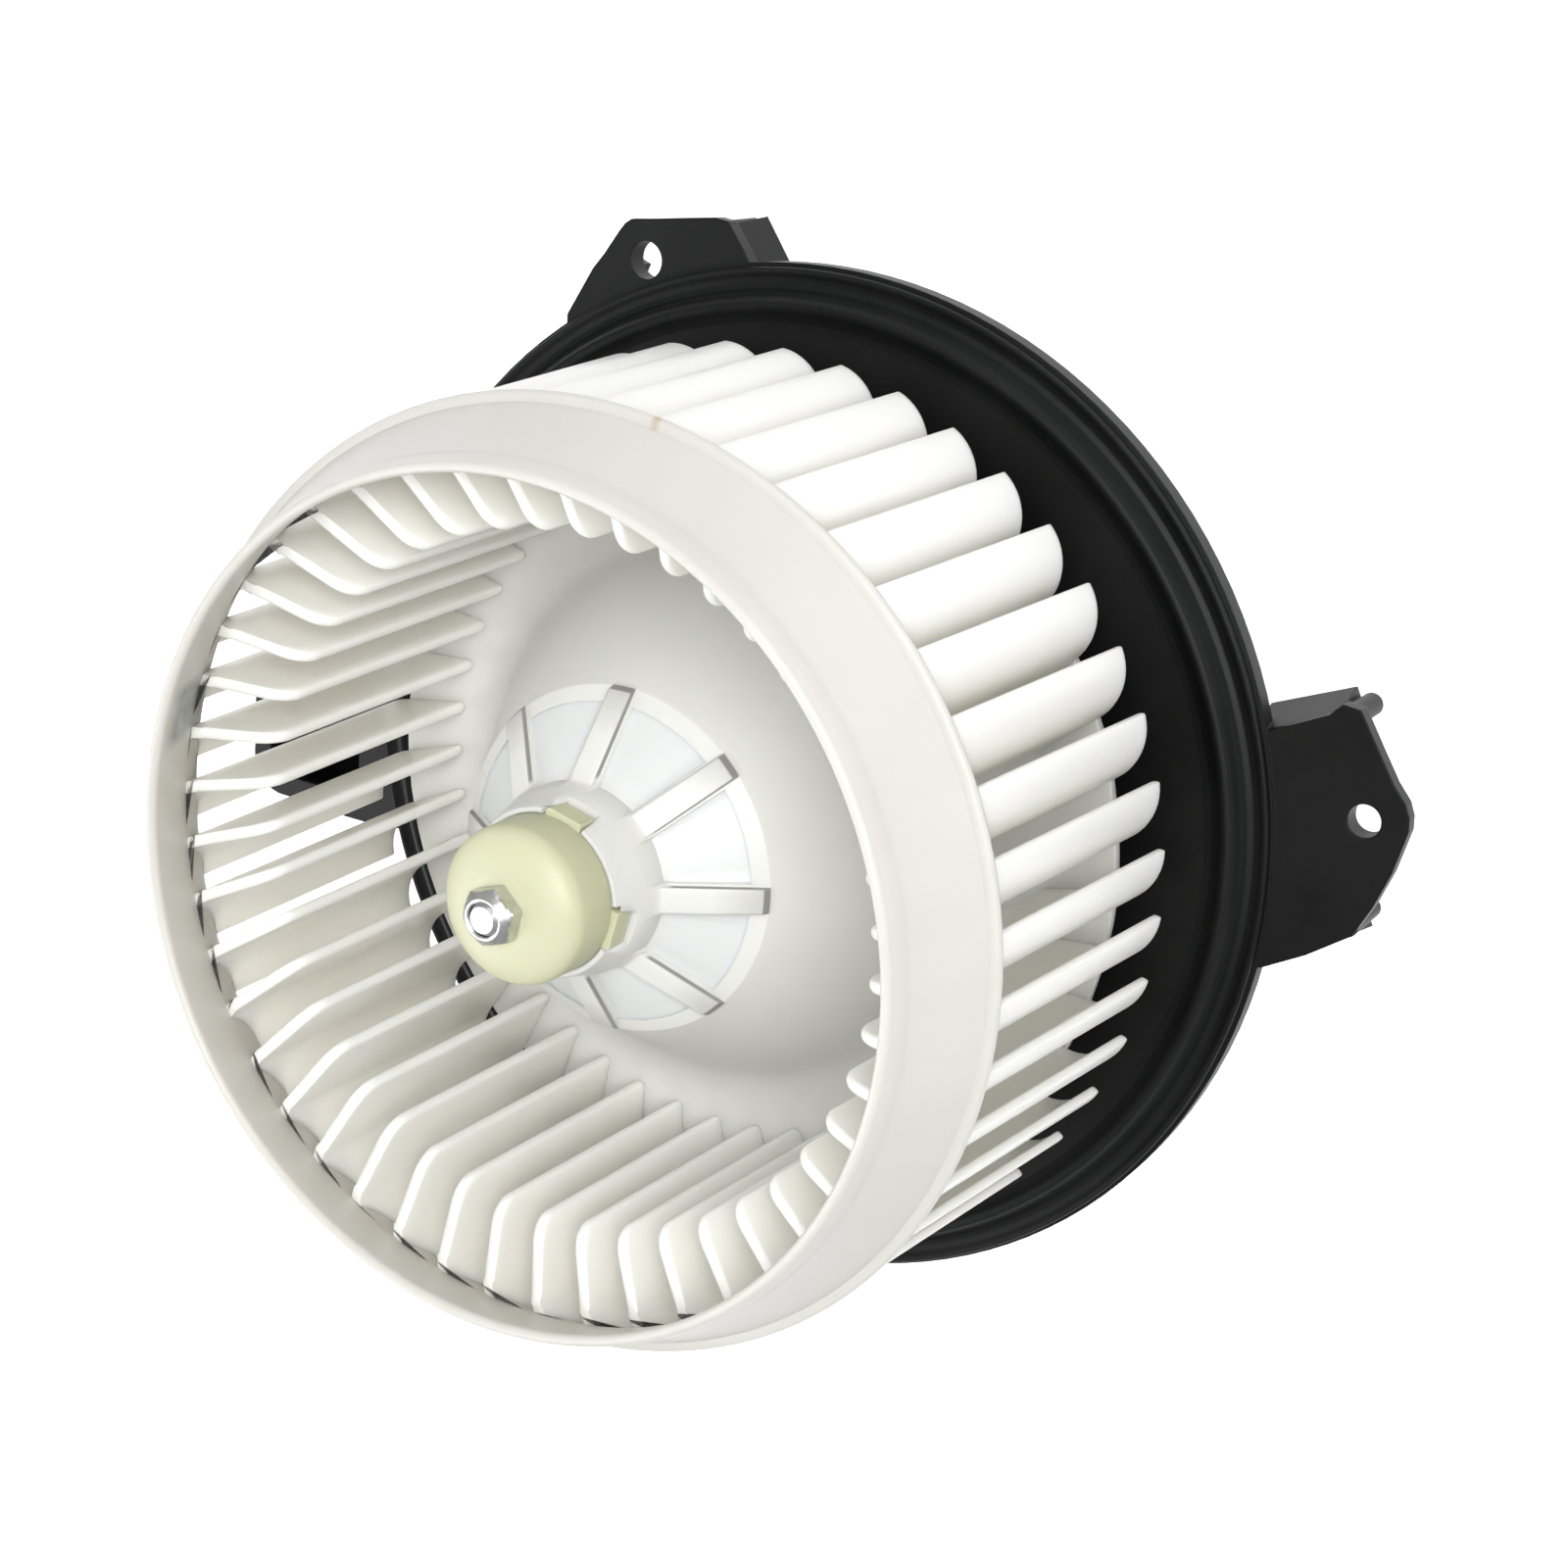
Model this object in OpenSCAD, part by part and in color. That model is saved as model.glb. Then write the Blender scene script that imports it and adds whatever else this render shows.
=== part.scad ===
// Automotive cabin blower: squirrel-cage wheel on a brushed motor in a round mounting flange.
// Millimetres. Spin axis is +Z, the air inlet faces +Z and the motor hangs below.
// The origin is the centre of the flange's front rim plane.

/* [Wheel] */
// outside diameter at the blade tips
wheel_d = 150; // [150:150]
// number of blades
blade_count = 45; // [45:45]
// height of the rear ends of the blades above the rim plane
blade_z0 = 15.5; // [15.5:15.5]
// height of the lower edge of the inlet ring
ring_z0 = 64.9; // [64.9:64.9]
// height of the front lip of the inlet ring
ring_z1 = 82.85; // [82.85:82.85]
// radius of the front lip
lip_r = 64.7; // [64.7:64.7]
// radius of the inlet ring at its lower edge
ring_r = 72.1; // [72.1:72.1]
// wall of the inlet ring
ring_wall = 1.8; // [1.8:1.8]
// radius of the back plate
plate_r = 67.1; // [67.1:67.1]
// wall of the back plate and its dome
plate_t = 2; // [2:2]

/* [Hub] */
// radius of the nylon hub collar
hub_r = 12; // [12:12]
// height of the collar's front face
hub_z = 80; // [80:80]
// shaft radius in the motor
shaft_r = 4; // [4:4]
// thread radius at the shaft's end
thread_r = 2.5; // [2.5:2.5]
// height of the shaft's end
shaft_z1 = 83.8; // [83.8:83.8]

/* [Flange] */
// radius of the flange rim
rim_r = 85.85; // [85.85:85.85]
// radius of the raised ridge inside the rim
ridge_r = 79.4; // [79.4:79.4]
// depth of the ear plates below the rim plane
ear_z = -1.5; // [-1.5:-1.5]
// thickness of the ear plates
ear_t = 2.6; // [2.6:2.6]
// depth of the ears' side walls
ear_deep = 12; // [12:12]
// screw hole radius in the wide ears
wide_hole_r = 2.6; // [2.6:2.6]
// screw hole radius in the narrow ear
narrow_hole_r = 3.1; // [3.1:3.1]
// radius of the shallow spigot at the rim's front
spigot_r = 85.2; // [85.2:85.2]
// radius where the flange ends and the motor cup begins
cup_foot_r = 45; // [45:45]
// direction and hole radius of the first ear
ear_a = [-114.1, 99.7]; // [0:1]
// direction and hole radius of the second ear
ear_b = [-11, 89.4]; // [0:1]
// direction and hole radius of the third ear
ear_c = [118, 99.7]; // [0:1]

/* [Motor] */
// outside radius of the yoke can
can_r = 30; // [30:30]
// height of the can's front face
can_z1 = 33; // [33:33]
// height of the can's open rear end
can_z0 = -31; // [-31:-31]
// wall of the can
can_t = 2; // [2:2]
// inside radius of the housing barrel
barrel_r = 33.2; // [33.2:33.2]
// barrel wall
barrel_t = 2.4; // [2.4:2.4]
// armature core radius
core_r = 20.8; // [20.8:20.8]
// height of the core's rear face
core_z0 = -8; // [-8:-8]
// height of the core's front face
core_z1 = 20; // [20:20]
// commutator radius
comm_r = 9.5; // [9.5:9.5]

/* [Hidden] */
$fn = 96;
eps = 0.01;
ring_h = ring_z1 - ring_z0;
ring_k = 0.15;
ring_q = (ring_r - lip_r - ring_k * ring_h) / (ring_h * ring_h);
first_tip = -19.7;
pitch = 360 / blade_count;
duct_dir = 56;
duct_v0 = 3.3;
duct_v1 = 28.9;
duct_u1 = 117.3;
duct_z1 = -2.4;
duct_z0 = -19;
cap_z = -32;
brush_z = -24;
conn_dir = 180;

// radius of the inlet ring's outer face at a drop d below the lip
function ring_out(d) = lip_r + ring_k * d + ring_q * d * d;

// ---------- small helpers ----------
module tube(ro, ri, z0, z1) {
  difference() {
    translate([0, 0, z0]) cylinder(h = z1 - z0, r = ro);
    translate([0, 0, z0 - 1]) cylinder(h = z1 - z0 + 2, r = ri);
  }
}

module disc(r, z0, z1) {
  translate([0, 0, z0]) cylinder(h = z1 - z0, r = r);
}

module box(x0, x1, y0, y1, z0, z1) {
  translate([x0, y0, z0]) cube([x1 - x0, y1 - y0, z1 - z0]);
}

// ---------- wheel ----------
// the inlet ring: a flared band with a rounded lip and a bead round its lower edge
module inlet_ring() {
  n = 6;
  d0 = ring_wall / 2;
  drop = [for (i = [0 : n]) d0 + (ring_h - d0) * i / n];
  lip = [for (a = [150 : -30 : 30])
    [ring_out(d0) - d0 + d0 * cos(a), ring_z1 - d0 + d0 * sin(a)]];
  outer = [for (i = [0 : n - 1]) [ring_out(drop[i]), ring_z1 - drop[i]]];
  bead = [for (a = [70 : -35 : -70])
    [ring_r - 0.3 + 0.9 * cos(a), ring_z0 + 0.9 + 0.9 * sin(a)]];
  inner = [for (i = [n : -1 : 0]) [ring_out(drop[i]) - ring_wall, ring_z1 - drop[i]]];
  color([0.93, 0.92, 0.88])
  rotate_extrude() polygon(concat(lip, outer, bead, inner));
}

// section across one blade, its tip on +X: a straight leg and a forward-curved arc
module blade_section() {
  difference() {
    intersection() {
      translate([66.07, 0.44]) circle(r = 8.94);
      translate([66.5, -10]) square([12, 10]);
    }
    translate([66.3, 0.65]) circle(r = 7.3);
  }
  polygon([[51, -10.11], [67, -8.44], [67, -6.62], [51, -8.25]]);
}

// side view of one blade, radius against height
module blade_side() {
  n = 6;
  d0 = ring_wall / 2;
  drop = [for (i = [0 : n]) d0 + (ring_h - d0) * i / n];
  inner = [for (i = [n : -1 : 0])
    [ring_out(drop[i]) - ring_wall + 0.2, ring_z1 - drop[i]]];
  intersection() {
    polygon(concat([[50, blade_z0 - 0.2], [wheel_d / 2 + 0.4, blade_z0 - 0.2],
      [ring_r + 0.5, ring_z0 - 0.01]], inner, [[50, ring_z1 - d0]]));
    union() {
      polygon([[55.8, blade_z0 - 0.2], [53.6, 64.6], [58.1, 64.6], [56.56, 68.83], [68, 72.95],
        [80, 72.95], [80, blade_z0 - 0.2]]);
      translate([58.1, 64.6]) circle(r = 4.5);
    }
  }
}

// the blade leans in towards the ring, and a little the way it curves
module blade() {
  intersection() {
    translate([wheel_d / 2, 0, blade_z0]) rotate([-0.9, -3.35, 0])
      translate([-wheel_d / 2, 0, -3]) linear_extrude(height = 72) blade_section();
    rotate_extrude() blade_side();
  }
}

module fan_blades() {
  color([0.93, 0.92, 0.88])
  for (i = [0 : blade_count - 1]) rotate([0, 0, first_tip - i * pitch]) blade();
}

// height of the dome's outer face at radius r, from the fillet, the steep wall and the crown
module dome_profile(t) {
  zb = blade_z0;
  difference() {
    union() {
      polygon([[0, zb + 34.4], [27.2, zb + 34.4], [42.9, zb + 7.2], [55, zb], [55, zb - 2.1],
        [0, zb - 2.1]]);
      polygon([[0, zb + 46], [14.2, zb + 44.4], [27.2, zb + 34.4], [0, zb + 34.4]]);
      translate([0, zb - plate_t]) square([plate_r, plate_t]);
    }
    translate([55, zb + 14]) circle(r = 14);
  }
}

module fan_backplate() {
  zb = blade_z0;
  color([0.9, 0.9, 0.88])
  difference() {
    union() {
      rotate_extrude() dome_profile();
      // raised ring at the crown that grips the collar
      translate([0, 0, zb + 40]) cylinder(h = 13.5, r1 = 16.2, r2 = 12.9);
      // radial ribs on the crown
      for (i = [0 : 7]) rotate([0, 0, 12 + i * 45]) rotate([90, 0, 0])
        translate([0, 0, -2]) linear_extrude(height = 4)
          polygon([[12, zb + 40], [12, zb + 46.9], [14.4, zb + 45.7], [26.9, zb + 35.8],
            [27.4, zb + 34.4], [26, zb + 30]]);
    }
    // the hollow under the dome
    rotate_extrude()
      polygon([[0, zb + 40], [9.9, zb + 40], [13.4, zb + 42.1], [25.9, zb + 32.5],
        [41.2, zb + 6], [44.5, zb + 1.6], [49, zb - 1], [52.5, zb - plate_t],
        [52.5, zb - 4], [0, zb - 4]]);
    // shallow pockets between the ribs
    for (i = [0 : 7]) rotate([0, 0, 34.5 + i * 45]) crown_pocket();
    // seat of the collar
    disc(hub_r + 0.02, zb + 46, zb + 60);
    disc(10, zb + 30, zb + 60);
    // gap in the raised ring
    for (i = [0 : 3]) rotate([0, 0, -137 + i * 90]) box(11, 17, -3.2, 3.2, zb + 49.3, zb + 54);
  }
}

// one triangular pocket, cut 0.7 deep into the crown's cone
module crown_pocket() {
  zb = blade_z0;
  intersection() {
    rotate_extrude()
      polygon([[14.5, zb + 43.5], [14.5, zb + 50], [25, zb + 50], [25, zb + 35.4]]);
    translate([0, 0, zb + 30]) linear_extrude(height = 25)
      polygon([[5.3, 0], [28, 9.4], [28, -9.4]]);
  }
}

// nylon collar moulded into the crown, with a spigot inside the dome
module hub_collar() {
  zb = blade_z0;
  dome = [[hub_r, hub_z - 4.6], [11.75, hub_z - 3.6], [11.2, hub_z - 2.7],
    [10.2, hub_z - 1.9], [8.6, hub_z - 1.1], [6.6, hub_z - 0.4], [5.4, hub_z]];
  color([0.86, 0.87, 0.7])
  difference() {
    union() {
      rotate_extrude()
        polygon(concat([[0, zb + 28], [9.2, zb + 28], [9.98, zb + 29], [9.98, zb + 46],
          [hub_r, zb + 46]], dome, [[0, hub_z]]));
      // four keys that sit in the notches of the boss
      for (i = [0 : 3]) rotate([0, 0, -137 + i * 90])
        box(11.5, 12.8, -3.1, 3.1, zb + 49.4, zb + 53.4);
    }
    disc(shaft_r + 0.03, 0, 60);
    disc(thread_r + 0.05, 59, 90);
  }
}

// hexagon nut, 8 mm across flats
module hub_nut() {
  color([0.75, 0.75, 0.77])
  difference() {
    intersection() {
      translate([0, 0, hub_z]) rotate([0, 0, 15]) cylinder(h = 3.6, r = 4.62, $fn = 6);
      translate([0, 0, hub_z - 2]) cylinder(h = 7.6, r1 = 8.775, r2 = 1.073);
    }
    disc(thread_r + 0.05, hub_z - 1, hub_z + 7);
  }
}

// steel balance strip on the outside of the inlet ring
module balance_clip() {
  color([0.35, 0.38, 0.38])
  rotate([0, 0, 42])
  intersection() {
    rotate_extrude() polygon([[ring_out(15) + 0.02, ring_z1 - 15],
      [ring_out(15) + 0.7, ring_z1 - 14.8], [ring_out(3) + 0.7, ring_z1 - 2.8],
      [ring_out(3) + 0.02, ring_z1 - 3]]);
    box(60, 80, -4.5, 4.5, 60, 90);
  }
}

// ---------- rotor ----------
module motor_shaft() {
  color([0.72, 0.72, 0.74])
  union() {
    disc(shaft_r, -40.6, 59.9);
    disc(thread_r, 59.9, shaft_z1 - 0.6);
    translate([0, 0, shaft_z1 - 0.6]) cylinder(h = 0.6, r1 = thread_r, r2 = thread_r - 0.5);
  }
}

module armature_core() {
  color([0.45, 0.45, 0.47])
  difference() {
    disc(core_r, core_z0, core_z1);
    disc(shaft_r + 0.01, core_z0 - 1, core_z1 + 1);
    for (i = [0 : 11]) rotate([0, 0, i * 30]) {
      box(core_r - 1.4, core_r + 2, -1.1, 1.1, core_z0 - 1, core_z1 + 1);
      translate([core_r - 4.8, 0, core_z0 - 1]) cylinder(h = core_z1 - core_z0 + 2, r = 3);
    }
  }
}

module armature_winding() {
  color([0.72, 0.36, 0.2])
  union() {
    for (i = [0 : 11]) rotate([0, 0, i * 30])
      translate([core_r - 4.8, 0, core_z0 - 4]) cylinder(h = core_z1 - core_z0 + 8, r = 2.96);
    difference() {
      rotate_extrude() polygon([[5, core_z1 + 0.02], [19.4, core_z1 + 0.02], [18.6, core_z1 + 5],
        [15, core_z1 + 7.5], [7, core_z1 + 7]]);
      disc(shaft_r + 0.6, core_z1 - 1, core_z1 + 9);
    }
    difference() {
      rotate_extrude() polygon([[5, core_z0 - 0.02], [19.4, core_z0 - 0.02], [18.6, core_z0 - 5],
        [15, core_z0 - 7.5], [7, core_z0 - 7]]);
      disc(shaft_r + 0.6, core_z0 - 9, core_z0 + 1);
    }
  }
}

module commutator() {
  color([0.7, 0.45, 0.28])
  difference() {
    union() {
      disc(comm_r, -30.5, -18);
      disc(comm_r + 1.8, -18, -16);
    }
    disc(shaft_r + 0.01, -32, -15);
    for (i = [0 : 11]) rotate([0, 0, i * 30 + 15])
      box(comm_r - 1.2, comm_r + 4, -0.3, 0.3, -32, -15);
  }
}

module thrust_washer_front() {
  color([0.25, 0.22, 0.2]) tube(6.4, shaft_r + 0.02, 28.4, 29.4);
}

module thrust_washer_rear() {
  color([0.25, 0.22, 0.2]) tube(5.8, shaft_r + 0.02, -31.2, -30.52);
}

// ---------- flange and housing ----------
// outline of the wide ear, u outwards along its direction and v across
module ear_wide() {
  polygon([[78, 11.5], [84.6, 12.9], [94.6, 15.9], [96.8, 17.6], [99.6, 16.8], [102.3, 10.5],
    [104.4, 5.7], [106.1, 2.9], [106.6, 0.7], [106.4, -1.4], [103.7, -8], [100.7, -13.4],
    [97.4, -18.1], [90, -21.8], [83, -24.4], [78, -25.4]]);
}

module ear_narrow() {
  polygon([[78, 21], [85.2, 18.1], [91, 10.6], [92.6, 7.7], [95.3, 3.6], [96.2, 2], [96.5, 0.6],
    [96, -0.9], [92.2, -15], [91, -17.2], [86, -18.6], [78, -20]]);
}

// one ear: a plate with a screw hole and two side walls that run back from its edges
module ear_solid(dir, hole_u, wide) {
  hr = wide ? wide_hole_r : narrow_hole_r;
  rotate([0, 0, dir]) difference() {
    union() {
      translate([0, 0, ear_z - ear_t]) linear_extrude(height = ear_t) {
        if (wide) ear_wide();
        if (!wide) ear_narrow();
      }
      if (wide) {
        ear_wall([80, 11.1], [96, 14.8], 12);
        ear_wall([96, -17.4], [80, -23.4], 8);
        translate([97.2, 15.2, ear_z - ear_deep]) cylinder(h = ear_deep - 1, r = 1.8);
        translate([96.4, -16.9, ear_z - ear_deep]) cylinder(h = ear_deep - 1, r = 1.7);
      }
      if (!wide) {
        ear_wall([80, 17.6], [90.6, 7.6], 0);
        ear_wall([90.4, -15], [80, -17.4], 10);
        translate([90.4, -14.6, ear_z - ear_deep]) cylinder(h = ear_deep - 1, r = 1.3);
      }
      // boss round the hole
      translate([hole_u, 0, ear_z - ear_t - 1.4]) cylinder(h = 2, r = hr + 1.7);
    }
    translate([hole_u, 0, -20]) cylinder(h = 40, r = hr);
    disc(rim_r - 3, -30, 30);
  }
}

// a 2 mm wall between two points of the ear, running back and leaning outwards
module ear_wall(a, b, lean) {
  d = b - a;
  l = norm(d);
  translate([a[0], a[1], ear_z - 0.6]) rotate([0, 0, atan2(d[1], d[0])]) rotate([lean, 0, 0])
    translate([0, -1, -ear_deep + 0.8]) cube([l, 2, ear_deep - 0.8]);
}

// the flange's ring section, radius against height
module flange_profile() {
  polygon([[cup_foot_r, -1.6], [76.4, -1.6], [79, 0.2], [80, 0], [81.2, -1.7], [82.9, -2.6],
    [83.5, -2.5], [83.4, -7.2], [84.6, -7.2], [84.6, -4.6], [rim_r, -4.6], [rim_r, -1.45],
    [spigot_r, -1.45], [spigot_r, -0.3], [85.05, -0.08], [84.8, 0], [84.4, -0.08], [83.6, -0.5],
    [82.7, -0.75], [81.8, -0.4], [81, 0.6], [80.4, 1.7], [79.9, 2.25], [79.3, 2.4], [78.6, 2.2],
    [77.6, 1.5], [76.6, 1.05], [75.4, 0.9], [cup_foot_r, 0.9]]);
}

// way for the cooling duct under the rim and through the barrel
module duct_way() {
  rotate([0, 0, duct_dir]) box(20, 90, duct_v0 - 0.3, duct_v1 + 0.3, -25, duct_z1 + 0.3);
}

module flange() {
  color([0.12, 0.12, 0.12])
  difference() {
    union() {
      rotate_extrude() flange_profile();
      ear_solid(ear_a[0], ear_a[1], true);
      ear_solid(ear_b[0], ear_b[1], false);
      ear_solid(ear_c[0], ear_c[1], true);
      // stiffening ribs behind the plate
      for (a = [20, 90, 160, 200, 280, 330]) rotate([0, 0, a])
        box(cup_foot_r + 2, 80, -1, 1, -4.6, -1);
    }
    duct_way();
  }
}

// cup that holds the motor: a barrel with a flared front, three screw lugs and a foot in the flange
module motor_cup() {
  color([0.12, 0.12, 0.12])
  difference() {
    union() {
      rotate_extrude() polygon([[barrel_r, 22], [barrel_r, -30], [barrel_r + barrel_t, -30],
        [barrel_r + barrel_t, -1.6], [cup_foot_r + 0.2, -1.6],
        [cup_foot_r + 0.2, 0.9], [41, 2.6], [38.4, 8], [36.6, 22]]);
      // lugs for the rear cap's screws, set back a little from the barrel's end
      for (a = [0, 120, 240]) rotate([0, 0, a]) difference() {
        translate([38.6, 0, -29.7]) cylinder(h = 28.3, r = 3.6);
        disc(barrel_r + 1, -40, 10);
      }
    }
    duct_way();
    for (a = [0, 120, 240]) rotate([0, 0, a])
      translate([38.6, 0, -31]) cylinder(h = 13, r = 1.4);
  }
}

// cooling air duct: a mouth beside the rim and a channel that runs in to the motor
module cooling_duct() {
  color([0.13, 0.13, 0.13])
  rotate([0, 0, duct_dir]) difference() {
    union() {
      box(24, duct_u1 - 7, duct_v0, duct_v1, duct_z0, duct_z1);
      box(24, duct_u1, duct_v0, duct_v1 - 7, duct_z0, duct_z1);
      translate([duct_u1 - 7, duct_v1 - 7, duct_z0]) cylinder(h = duct_z1 - duct_z0, r = 7);
      // pads against the flange's underside
      box(42, 76, duct_v0 + 3, duct_v1 - 3, duct_z1 - 1, -1.62);
      // clip step on the outer wall
      box(88, 98, duct_v1 - 1, duct_v1 + 1.1, duct_z0, duct_z1 - 1);
    }
    disc(barrel_r + barrel_t + 0.05, -40, 10);
    box(10, duct_u1 - 7, duct_v0 + 1.8, duct_v1 - 1.8, duct_z0 + 1.8, duct_z1 - 1.8);
    box(duct_u1 - 9, duct_u1 - 1.8, duct_v0 + 1.8, duct_v1 - 7, duct_z0 + 1.8, duct_z1 - 1.8);
    box(92, duct_u1 - 4, duct_v0 + 3.5, duct_v1 - 4, duct_z1 - 4, 10);
  }
}

// rear cap with the plug socket
module rear_cap() {
  color([0.12, 0.12, 0.12])
  difference() {
    union() {
      disc(barrel_r + barrel_t, cap_z - 11, cap_z + 1.98);
      translate([0, 0, cap_z - 13]) cylinder(h = 2, r1 = barrel_r - 1, r2 = barrel_r + barrel_t);
      for (a = [0, 120, 240]) rotate([0, 0, a])
        translate([38.6, 0, cap_z - 3]) cylinder(h = 4.98, r = 3.6);
      rotate([0, 0, conn_dir]) box(30, 54, -8.5, 8.5, cap_z - 11.2, cap_z + 1.2);
    }
    disc(barrel_r - 0.4, cap_z - 11, cap_z + 3);
    for (a = [0, 120, 240]) rotate([0, 0, a])
      translate([38.6, 0, cap_z - 5]) cylinder(h = 12, r = 1.9);
    rotate([0, 0, conn_dir]) box(41, 60, -7, 7, cap_z - 10, cap_z);
    rotate([0, 0, conn_dir]) for (s = [-1, 1])
      box(30, 42, s * 3.4 - 1.62, s * 3.4 + 1.62, cap_z - 5.42, cap_z - 4.58);
  }
}

module iso_ring_front() {
  color([0.1, 0.1, 0.1]) tube(barrel_r - 0.05, can_r + 0.05, 14, 21);
}

module iso_ring_rear() {
  color([0.1, 0.1, 0.1]) tube(barrel_r - 0.05, can_r + 0.05, -28, -21);
}

// ---------- motor, standing parts ----------
module yoke_can() {
  color([0.7, 0.71, 0.72])
  difference() {
    union() {
      rotate_extrude() {
        polygon([[0, can_z0], [can_r, can_z0], [can_r, can_z1 - 4], [can_r - 4, can_z1],
          [0, can_z1]]);
        translate([can_r - 4, can_z1 - 4]) circle(r = 4);
      }
      translate([0, 0, can_z1 - 1]) cylinder(h = 8.5, r = 9);
    }
    disc(can_r - can_t, can_z0 - 1, can_z1 - can_t);
    disc(7.4, can_z1 - can_t - 1, can_z1 + 6);
    disc(shaft_r + 0.8, can_z1 - 5, can_z1 + 12);
    // cooling slots in the front
    for (i = [0 : 5]) rotate([0, 0, i * 60 + 10]) box(15, 22, -3, 3, can_z1 - 4, can_z1 + 2);
    // air windows in the side, opposite the duct
    for (a = [0, 90, 180, 270]) rotate([0, 0, a + 45]) box(24, 34, -4, 4, -19, -13);
  }
}

module magnet_arc() {
  intersection() {
    tube(can_r - can_t - 0.05, core_r + 0.7, -11, 23);
    rotate([0, 0, 0]) linear_extrude(height = 80, center = true)
      polygon([[0, 0], [40, -50], [60, 0], [40, 50]]);
  }
}

module magnet_a() {
  color([0.28, 0.28, 0.3]) magnet_arc();
}

module magnet_b() {
  color([0.28, 0.28, 0.3]) rotate([0, 0, 180]) magnet_arc();
}

// spring clip between the magnets' ends
module magnet_clip() {
  intersection() {
    tube(can_r - can_t - 0.1, can_r - can_t - 0.9, -9, 21);
    rotate([0, 0, 90]) linear_extrude(height = 80, center = true)
      polygon([[0, 0], [40, -28], [60, 0], [40, 28]]);
  }
  intersection() {
    tube(can_r - can_t - 0.1, core_r + 1.6, -9, 21);
    rotate([0, 0, 90]) union() {
      box(20, 28, -15.7, -14.9, -9, 21);
      box(20, 28, 14.9, 15.7, -9, 21);
    }
  }
}

module magnet_clip_a() {
  color([0.6, 0.6, 0.62]) magnet_clip();
}

module magnet_clip_b() {
  color([0.6, 0.6, 0.62]) rotate([0, 0, 180]) magnet_clip();
}

module bushing_front() {
  color([0.7, 0.55, 0.3])
  difference() {
    intersection() {
      translate([0, 0, 35]) sphere(r = 7.2);
      disc(9, 31.3, 38.9);
    }
    disc(shaft_r + 0.03, 25, 45);
  }
}

module bushing_rear() {
  color([0.7, 0.55, 0.3])
  difference() {
    intersection() {
      translate([0, 0, -36.4]) sphere(r = 7.2);
      disc(9, -40.4, -32.2);
    }
    disc(shaft_r + 0.03, -45, -25);
  }
}

module bushing_retainer_front() {
  color([0.62, 0.62, 0.64]) tube(12, 7, 30.3, 30.95);
}

module bushing_retainer_rear() {
  color([0.62, 0.62, 0.64]) tube(10.5, 6.4, -31.88, -31.3);
}

// pressed steel plate that closes the can and holds the rear bushing
module end_plate() {
  color([0.68, 0.69, 0.7])
  difference() {
    union() {
      disc(can_r, can_z0 - 1.6, can_z0 - 0.02);
      disc(9, -41.6, can_z0 - 1);
    }
    disc(7.4, -41, can_z0 + 1);
    disc(12, can_z0 - 0.9, can_z0 + 1);
    for (s = [-1, 1]) box(14, 22, s * 9 - 2.6, s * 9 + 2.6, can_z0 - 3, can_z0 + 1);
  }
}

module brush_card() {
  color([0.35, 0.22, 0.14])
  difference() {
    disc(can_r - can_t - 0.1, can_z0 + 0.02, can_z0 + 2);
    disc(comm_r + 2.4, can_z0 - 1, can_z0 + 4);
  }
}

// brass guide for one brush, open at both ends
module brush_holder() {
  difference() {
    box(12, 24, -4.2, 4.2, can_z0 + 2.02, brush_z + 4.6);
    box(11, 25, -3.4, 3.4, brush_z - 3.9, brush_z + 3.9);
  }
}

module brush_block() {
  box(comm_r + 0.3, 19, -3.38, 3.38, brush_z - 3.88, brush_z + 3.88);
}

// coiled strip spring behind the brush
module brush_spring() {
  translate([21.6, 0, brush_z]) rotate([90, 0, 0]) difference() {
    translate([0, 0, -2]) cylinder(h = 4, r = 2.4);
    translate([0, 0, -3]) cylinder(h = 6, r = 1.5);
  }
  box(19.02, 19.35, -2, 2, brush_z - 2.6, brush_z + 2.6);
}

module brush_holder_a() {
  color([0.8, 0.66, 0.3]) brush_holder();
}

module brush_holder_b() {
  color([0.8, 0.66, 0.3]) rotate([0, 0, 180]) brush_holder();
}

module brush_a() {
  color([0.15, 0.15, 0.16]) brush_block();
}

module brush_b() {
  color([0.15, 0.15, 0.16]) rotate([0, 0, 180]) brush_block();
}

module brush_spring_a() {
  color([0.6, 0.6, 0.63]) brush_spring();
}

module brush_spring_b() {
  color([0.6, 0.6, 0.63]) rotate([0, 0, 180]) brush_spring();
}

// suppression choke: a ferrite rod with a copper coil
module choke() {
  translate([0, 19.4, can_z0 + 5]) rotate([0, 90, 0]) {
    translate([0, 0, -8]) cylinder(h = 16, r = 1.6);
    translate([0, 0, -6]) cylinder(h = 12, r = 2.9);
  }
}

module choke_a() {
  color([0.72, 0.36, 0.2]) choke();
}

module choke_b() {
  color([0.72, 0.36, 0.2]) rotate([0, 0, 180]) choke();
}

// brass blade that runs from the motor into the plug socket
module terminal(s) {
  rotate([0, 0, conn_dir])
    box(26, 51, s * 3.4 - 1.6, s * 3.4 + 1.6, cap_z - 5.4, cap_z - 4.6);
}

module terminal_a() {
  color([0.82, 0.68, 0.32]) terminal(1);
}

module terminal_b() {
  color([0.82, 0.68, 0.32]) terminal(-1);
}

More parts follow.
